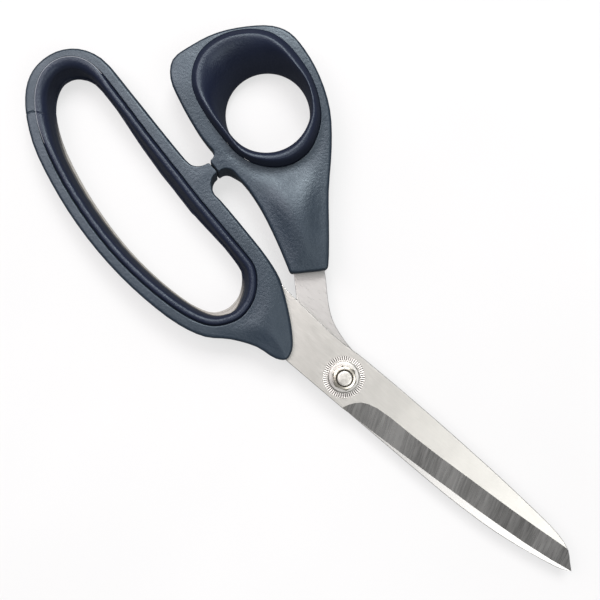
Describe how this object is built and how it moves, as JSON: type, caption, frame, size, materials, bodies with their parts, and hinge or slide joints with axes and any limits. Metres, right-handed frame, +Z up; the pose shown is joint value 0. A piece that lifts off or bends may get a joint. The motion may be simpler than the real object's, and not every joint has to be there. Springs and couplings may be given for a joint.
{
  "type": "fabric shears",
  "caption": "Bent-handle fabric shears: long ground steel blades on an adjustable pivot bolt, with a flared ring bow for the thumb and a long lined bow for the fingers.",
  "frame": {"origin": "on the pivot bolt's axis at the underside of its head, in the plane the closed shears lie on", "axes": "+X from the pivot to the blade tips, +Y towards the thumb bow, +Z up along the pivot bolt, out through its nut"},
  "size_m": [0.2405, 0.0959, 0.0178],
  "materials": {
    "blade_steel": "fine satin grind along the blade, darker cross-ground bevel",
    "pivot_nickel": "polished nickel plate",
    "slate_plastic": "fine eroded texture, slate blue-black",
    "grip": "matt, a little greyer than the frames",
    "nylon": "matt nylon"
  },
  "bodies": {
    "thumb_half": {"lower_blade": "blade_steel", "thumb_handle": "slate_plastic", "thumb_liner": "grip", "pivot_bolt": "pivot_nickel", "pivot_washer": "pivot_nickel"},
    "finger_half": {"upper_blade": "blade_steel", "finger_handle": "slate_plastic", "finger_liner": "grip"},
    "tension_nut": {"pivot_nut": "pivot_nickel", "nut_lock_ring": "nylon"}
  },
  "joints": [
    {"name": "blade_pivot", "type": "hinge", "parent": "thumb_half", "child": "finger_half", "pos_m": [0, 0, 0.0062], "axis": [0, 0, 1], "range_deg": [0, 110]},
    {"name": "tension_turn", "type": "hinge", "parent": "thumb_half", "child": "tension_nut", "pos_m": [0, 0, 0.012], "axis": [0, 0, 1], "range_deg": [0, 90]}
  ]
}
